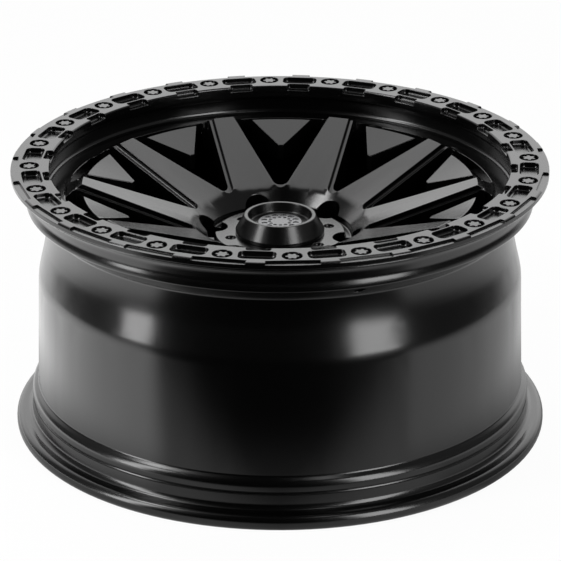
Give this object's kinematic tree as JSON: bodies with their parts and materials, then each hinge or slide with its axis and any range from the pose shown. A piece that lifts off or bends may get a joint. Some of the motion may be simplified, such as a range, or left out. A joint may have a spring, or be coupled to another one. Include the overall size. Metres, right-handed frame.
{
  "type": "forged wheel",
  "caption": "Satin black forged off-road wheel with a bolted ring on its deep outboard face, V-shaped spokes, triangular window pads and a conical centre cap.",
  "frame": {"origin": "centre of the hub bore in the plane of the mounting face", "axes": "+Z along the axle towards the outboard face, +X towards the valve hole"},
  "size_m": [0.5473, 0.5474, 0.28],
  "materials": {
    "satin_black": "satin black powder coat",
    "ring_black": "satin black powder coat",
    "bolt_black": "satin",
    "cap_black": "satin",
    "badge_silver": "brushed",
    "spring_steel": "bright"
  },
  "bodies": {
    "root": {"wheel": "satin_black", "bead_ring": "ring_black", "ring_bolts": "bolt_black", "centre_cap": "cap_black", "cap_badge": "badge_silver", "cap_retaining_ring": "spring_steel"}
  },
  "joints": []
}
